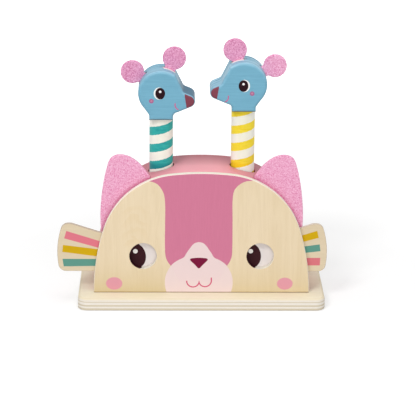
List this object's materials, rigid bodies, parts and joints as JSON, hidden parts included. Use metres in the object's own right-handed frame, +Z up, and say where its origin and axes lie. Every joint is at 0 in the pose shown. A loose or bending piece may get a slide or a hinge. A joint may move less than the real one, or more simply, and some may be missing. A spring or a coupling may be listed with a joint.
{
  "type": "pop up animal toy",
  "caption": "Free-standing wooden pop-up toy: dome-shaped cat-faced box on a base board, sprung round pegs with animal heads, and a sliding plate that moves the cat's eyes.",
  "frame": {"origin": "middle of the base board's underside, on the surface that the toy stands on", "axes": "+Z up along the pegs; +Y from the cat's face to the back; +X to the right as the face is seen, along the sliding plate"},
  "size_m": [0.2184, 0.08, 0.2153],
  "materials": {
    "plywood": "sanded birch plywood, clear lacquer",
    "beech": "sanded beech, uncoated",
    "printed_face": "birch plywood printed with a cat's face, satin lacquer",
    "printed_plate": "birch plywood printed with stripes and pupils, satin lacquer",
    "pink_paint": "bent plywood, satin pink paint",
    "blue_paint": "solid wood, satin blue paint with printed faces",
    "teal_dowel": "beech dowel, cream with teal spiral stripes",
    "yellow_dowel": "beech dowel, cream with yellow spiral stripes",
    "pink_felt": "pressed polyester felt, heathered pink",
    "spring_steel": "drawn wire",
    "zinc_steel": "zinc plated"
  },
  "bodies": {
    "box": {"base_board": "plywood", "base_screws": "zinc_steel", "front_panel": "printed_face", "body_shell": "pink_paint", "back_panel": "plywood", "partition": "plywood", "upper_guide": "plywood", "lower_guide": "plywood", "stop_pin": "beech", "peg_shelf": "plywood", "left_cat_ear": "pink_felt", "right_cat_ear": "pink_felt", "left_block": "beech", "right_block": "beech", "left_spring_seat": "beech", "right_spring_seat": "beech", "left_spring": "spring_steel", "right_spring": "spring_steel"},
    "eye_slider": {"slider_plate": "printed_plate"},
    "left_lift": {"left_collar": "beech"},
    "left_peg": {"left_dowel": "teal_dowel", "left_head": "blue_paint", "left_front_ear": "pink_felt", "left_back_ear": "pink_felt", "left_collar_screw": "zinc_steel"},
    "right_lift": {"right_collar": "beech"},
    "right_peg": {"right_dowel": "yellow_dowel", "right_head": "blue_paint", "right_front_ear": "pink_felt", "right_back_ear": "pink_felt", "right_collar_screw": "zinc_steel"}
  },
  "joints": [
    {"name": "eye_slide", "type": "slide", "parent": "box", "child": "eye_slider", "axis": [1, 0, 0], "range_m": [0, 0.015]},
    {"name": "left_press", "type": "slide", "parent": "box", "child": "left_lift", "axis": [0, 0, -1], "range_m": [0, 0.038], "stiffness_N_per_m": 60, "springref_m": -0.02, "deforming": ["left_spring"]},
    {"name": "left_turn", "type": "hinge", "parent": "left_lift", "child": "left_peg", "pos_m": [-0.0329, 0.0026, 0.08], "axis": [0, 0, 1], "continuous": true},
    {"name": "right_press", "type": "slide", "parent": "box", "child": "right_lift", "axis": [0, 0, -1], "range_m": [0, 0.038], "stiffness_N_per_m": 60, "springref_m": -0.02, "deforming": ["right_spring"]},
    {"name": "right_turn", "type": "hinge", "parent": "right_lift", "child": "right_peg", "pos_m": [0.0329, 0.0026, 0.08], "axis": [0, 0, 1], "continuous": true}
  ]
}
